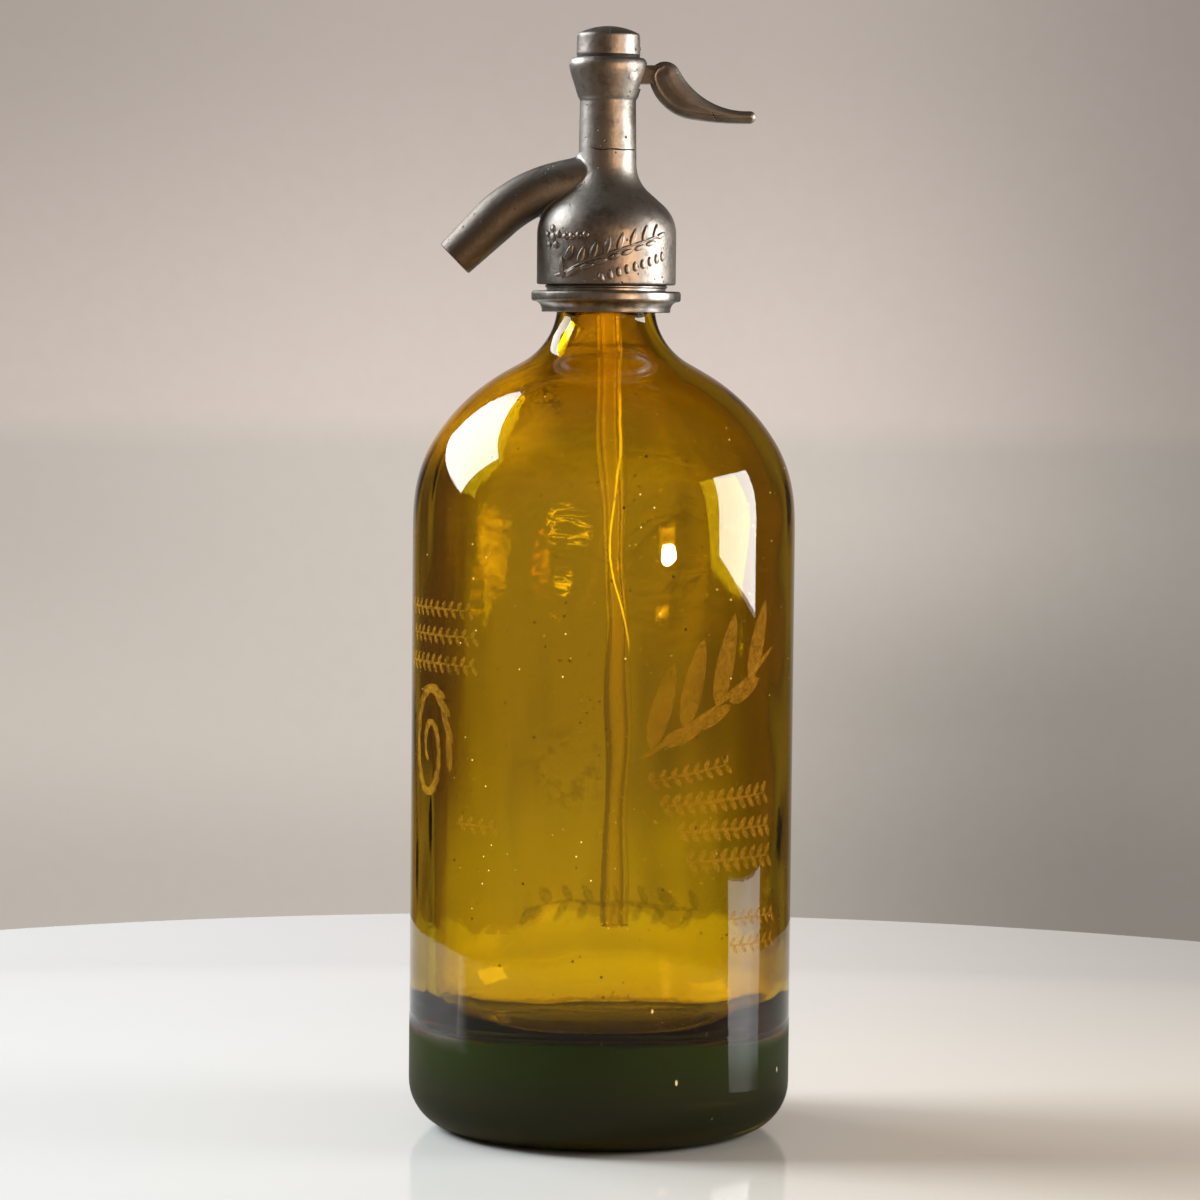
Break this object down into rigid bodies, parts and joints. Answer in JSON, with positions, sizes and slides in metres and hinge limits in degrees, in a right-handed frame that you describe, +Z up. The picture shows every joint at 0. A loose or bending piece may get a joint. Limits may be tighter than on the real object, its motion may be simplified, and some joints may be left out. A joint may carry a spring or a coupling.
{
  "type": "soda siphon",
  "caption": "Thick glass siphon bottle with a cast metal head, curved spout, screwed neck collar and a thumb lever that lifts a spring-closed valve above a glass dip tube.",
  "frame": {"origin": "on the bottle's axis, in the plane that its foot ring stands on", "axes": "+Z up along the bottle's axis, +X towards the thumb lever, -X towards the spout, +Y away from the side that is seen"},
  "size_m": [0.1102, 0.1102, 0.3178],
  "materials": {
    "amber_glass": "glossy, scuffed",
    "tube_glass": "glossy",
    "cast_metal": "satin cast tin alloy, worn",
    "collar_metal": "satin, worn",
    "lever_metal": "dulled nickel plate over brass",
    "brass": "turned",
    "steel": "drawn",
    "rubber": "matte",
    "leather": "oiled"
  },
  "bodies": {
    "root": {"bottle": "amber_glass", "dip_tube": "tube_glass", "neck_collar": "collar_metal", "clamp_half_front": "brass", "clamp_half_back": "brass", "head_gasket": "rubber", "head_casting": "cast_metal", "spout": "cast_metal", "cap_gasket": "leather", "cap": "cast_metal", "lever_pin": "steel", "valve_seat": "brass", "packing_washer": "brass", "stem_packing": "leather", "gland_nut": "brass", "valve_spring": "steel", "tube_nut": "brass", "tube_sleeve": "rubber"},
    "lever": {"lever": "lever_metal"},
    "valve": {"valve_stem": "brass", "lift_collar": "brass", "valve_washer": "rubber", "washer_screw": "brass"}
  },
  "joints": [
    {"name": "lever_press", "type": "hinge", "parent": "root", "child": "lever", "pos_m": [0.0072, 0, 0.30317], "axis": [0, 1, 0], "range_deg": [0, 14], "stiffness_Nm_per_rad": 1.2, "springref_deg": -11.46},
    {"name": "valve_lift", "type": "slide", "parent": "root", "child": "valve", "axis": [0, 0, 1], "range_m": [0, 0.00176], "deforming": ["valve_spring"]}
  ],
  "couplings": [
    {"joint": "valve_lift", "follows": "lever_press", "m_per_rad": 0.0072}
  ]
}
